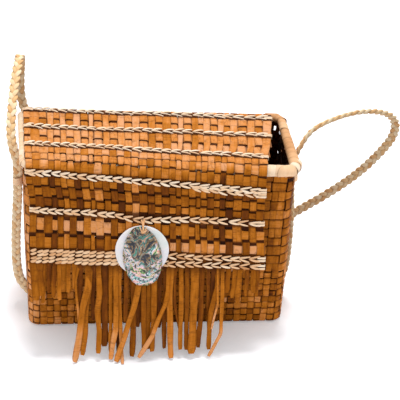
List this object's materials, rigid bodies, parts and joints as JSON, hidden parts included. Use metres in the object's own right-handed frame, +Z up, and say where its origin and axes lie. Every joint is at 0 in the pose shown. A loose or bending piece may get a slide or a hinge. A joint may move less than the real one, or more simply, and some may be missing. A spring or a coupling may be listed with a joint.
{
  "type": "woven shoulder bag",
  "caption": "Plaited cedar bark shoulder bag with a folding flap, twined raffia rows, a fringed edge, a shell pendant and a braided strap.",
  "frame": {"origin": "middle of the base on the table", "axes": "+X to the right across the front, +Y from the front to the back, +Z up; the flap and its fringe hang at the front, -Y"},
  "size_m": [0.3909, 0.2001, 0.2444],
  "materials": {
    "bark": "satin strips of inner cedar bark, orange to dark brown",
    "rod": "plain peeled rod",
    "raffia": "flat pale fibre",
    "braid": "plaited pale fibre",
    "pearl": "polished mother of pearl, gloss plastic stands in for shell",
    "abalone": "polished iridescent shell, gloss plastic stands in for shell"
  },
  "bodies": {
    "bag": {"base_panel": "bark", "front_wall": "bark", "back_wall": "bark", "left_gusset": "bark", "right_gusset": "bark", "rim_core": "rod", "rim_wrap_front": "raffia", "rim_wrap_front_left_corner": "raffia", "rim_wrap_front_right_corner": "raffia", "rim_wrap_left": "raffia", "rim_wrap_right": "raffia", "left_strap_tail": "braid", "right_strap_tail": "braid", "left_tail_lashing": "raffia", "right_tail_lashing": "raffia"},
    "flap_roof": {"flap_roof_panel": "bark", "twined_row_a": "raffia", "twined_row_b": "raffia", "twined_row_c": "raffia"},
    "flap_front": {"flap_front_panel": "bark", "twined_row_d": "raffia", "twined_row_e": "raffia", "twined_band_f": "raffia", "fringe_left_short": "bark", "fringe_long": "bark", "fringe_right_short": "bark", "shell_tie": "raffia"},
    "pendant": {"pearl_disc": "pearl", "abalone_shell": "abalone"},
    "strap": {"strap": "braid"}
  },
  "joints": [
    {"name": "flap_fold", "type": "hinge", "parent": "bag", "child": "flap_roof", "pos_m": [-0.00004, 0.052, 0.1834], "axis": [-0.9995, 0, 0.0331], "range_deg": [0, 110]},
    {"name": "flap_front_fold", "type": "hinge", "parent": "flap_roof", "child": "flap_front", "pos_m": [0.00021, -0.05659, 0.1909], "axis": [-0.9995, 0, 0.0331], "range_deg": [-8, 76], "stiffness_Nm_per_rad": 0.3, "springref_deg": 1.15},
    {"name": "pendant_swing", "type": "hinge", "parent": "flap_front", "child": "pendant", "pos_m": [-0.01436, -0.07304, 0.13159], "axis": [0.0077, -0.9724, 0.2333], "range_deg": [-25, 25]},
    {"name": "strap_lift", "type": "hinge", "parent": "bag", "child": "strap", "pos_m": [0, -0.004, 0.1651], "axis": [1, 0, 0], "range_deg": [0, 150]}
  ]
}
